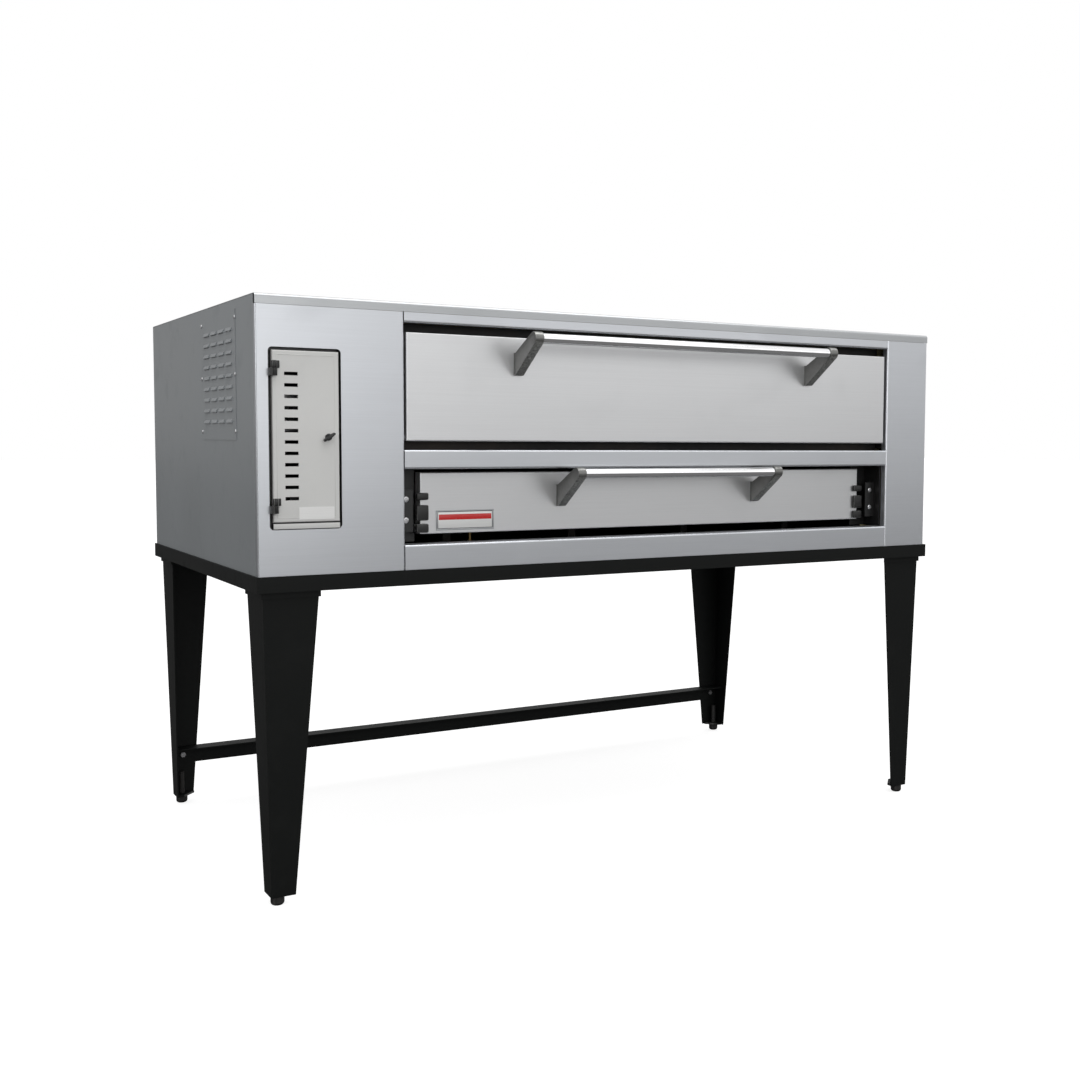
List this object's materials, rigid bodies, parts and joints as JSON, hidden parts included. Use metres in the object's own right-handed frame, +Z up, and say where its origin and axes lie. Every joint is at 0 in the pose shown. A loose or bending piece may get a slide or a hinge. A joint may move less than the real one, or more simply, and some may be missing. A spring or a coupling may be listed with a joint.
{
  "type": "gas deck pizza oven",
  "caption": "Gas deck pizza oven with a drop-down bake door over a burner compartment door, a side control compartment and a tall leg stand.",
  "frame": {"origin": "on the floor, under the middle of the whole oven", "axes": "+X to the right seen from the front, doors face -Y, +Z up"},
  "size_m": [2.042, 1.268, 1.411],
  "materials": {
    "front_steel": "fine brushed, satin",
    "lid_steel": "bright brushed, satin",
    "side_steel": "smooth grey enamel",
    "plain_steel": "mill finish",
    "door_steel": "fine brushed along the width",
    "control_door_grey": "satin grey paint",
    "stand_black": "satin black powder coat",
    "hinge_black": "black",
    "latch_black": "moulded black",
    "polished_bar": "polished",
    "cast_bracket": "dull grey casting",
    "fastener_steel": "zinc plated",
    "foot_iron": "black",
    "chamber_steel": "dark heat-proof sheet",
    "insulation_wool": "mineral wool",
    "hearth_stone": "fired hearth slab",
    "gas_pipe_black": "black iron pipe",
    "jet_brass": "plain brass",
    "valve_aluminium": "die cast",
    "knob_red": "moulded red",
    "dial_black": "moulded black",
    "plate_pale": "satin",
    "badge_red": "enamel"
  },
  "bodies": {
    "oven_body": {"left_fascia": "front_steel", "right_fascia": "front_steel", "header_panel": "front_steel", "middle_band": "front_steel", "sill_panel": "front_steel", "top_panel": "lid_steel", "left_side_panel": "side_steel", "side_access_panel": "side_steel", "right_side_panel": "side_steel", "rear_panel": "side_steel", "base_pan": "plain_steel", "compartment_partition": "plain_steel", "flue_collar": "plain_steel", "front_rear_rails": "stand_black", "side_rails": "stand_black", "front_left_leg": "stand_black", "front_right_leg": "stand_black", "rear_left_leg": "stand_black", "rear_right_leg": "stand_black", "rear_stretcher": "stand_black", "burner_hinge_plates": "hinge_black", "bake_hinge_blocks": "hinge_black", "control_surround": "hinge_black", "stand_bolts": "fastener_steel", "casing_screws": "fastener_steel", "balance_springs": "fastener_steel", "firebox_floor": "chamber_steel", "chamber_walls": "chamber_steel", "chamber_crown": "chamber_steel", "hearth_supports": "chamber_steel", "flame_baffles": "chamber_steel", "burner_tubes": "chamber_steel", "insulation": "insulation_wool", "hearth_slabs": "hearth_stone", "gas_manifold": "gas_pipe_black", "gas_inlet_pipe": "gas_pipe_black", "gas_jets": "jet_brass", "gas_valve": "valve_aluminium", "thermostat": "valve_aluminium"},
    "bake_door": {"bake_door_skin": "door_steel", "bake_door_liner": "plain_steel", "bake_door_core": "insulation_wool", "bake_handle_bar": "polished_bar", "bake_handle_brackets": "cast_bracket", "bake_door_pins": "fastener_steel"},
    "burner_door": {"burner_door_panel": "door_steel", "burner_handle_bar": "polished_bar", "burner_handle_brackets": "cast_bracket", "burner_door_straps": "hinge_black", "badge": "badge_red"},
    "control_door": {"control_door_panel": "control_door_grey", "control_hinge_knuckles": "hinge_black", "rating_plate": "plate_pale"},
    "latch": {"control_latch": "latch_black"},
    "dial": {"thermostat_dial": "dial_black"},
    "valve_knob": {"gas_valve_knob": "knob_red"},
    "front_left_foot_body": {"front_left_foot": "foot_iron"},
    "front_right_foot_body": {"front_right_foot": "foot_iron"},
    "rear_left_foot_body": {"rear_left_foot": "foot_iron"},
    "rear_right_foot_body": {"rear_right_foot": "foot_iron"}
  },
  "joints": [
    {"name": "bake_door_hinge", "type": "hinge", "parent": "oven_body", "child": "bake_door", "pos_m": [0.0955, -0.488, 1.091], "axis": [1, 0, 0], "range_deg": [0, 90], "stiffness_Nm_per_rad": 8, "springref_deg": -51.57},
    {"name": "burner_door_hinge", "type": "hinge", "parent": "oven_body", "child": "burner_door", "pos_m": [0.0955, -0.446, 0.87], "axis": [1, 0, 0], "range_deg": [0, 70]},
    {"name": "control_door_hinge", "type": "hinge", "parent": "oven_body", "child": "control_door", "pos_m": [-0.976, -0.526, 1.0865], "axis": [0, 0, -1], "range_deg": [0, 110]},
    {"name": "control_latch_turn", "type": "hinge", "parent": "control_door", "child": "latch", "pos_m": [-0.851, -0.523, 1.091], "axis": [0, 1, 0], "range_deg": [0, 90]},
    {"name": "thermostat_dial_turn", "type": "hinge", "parent": "oven_body", "child": "dial", "pos_m": [-0.908, -0.478, 1.15], "axis": [0, 1, 0], "range_deg": [0, 300]},
    {"name": "gas_valve_turn", "type": "hinge", "parent": "oven_body", "child": "valve_knob", "pos_m": [-0.866, -0.458, 0.915], "axis": [0, 1, 0], "range_deg": [0, 90]},
    {"name": "front_left_foot_screw", "type": "slide", "parent": "oven_body", "child": "front_left_foot_body", "axis": [0, 0, -1], "range_m": [0, 0.025]},
    {"name": "front_right_foot_screw", "type": "slide", "parent": "oven_body", "child": "front_right_foot_body", "axis": [0, 0, -1], "range_m": [0, 0.025]},
    {"name": "rear_left_foot_screw", "type": "slide", "parent": "oven_body", "child": "rear_left_foot_body", "axis": [0, 0, -1], "range_m": [0, 0.025]},
    {"name": "rear_right_foot_screw", "type": "slide", "parent": "oven_body", "child": "rear_right_foot_body", "axis": [0, 0, -1], "range_m": [0, 0.025]}
  ]
}
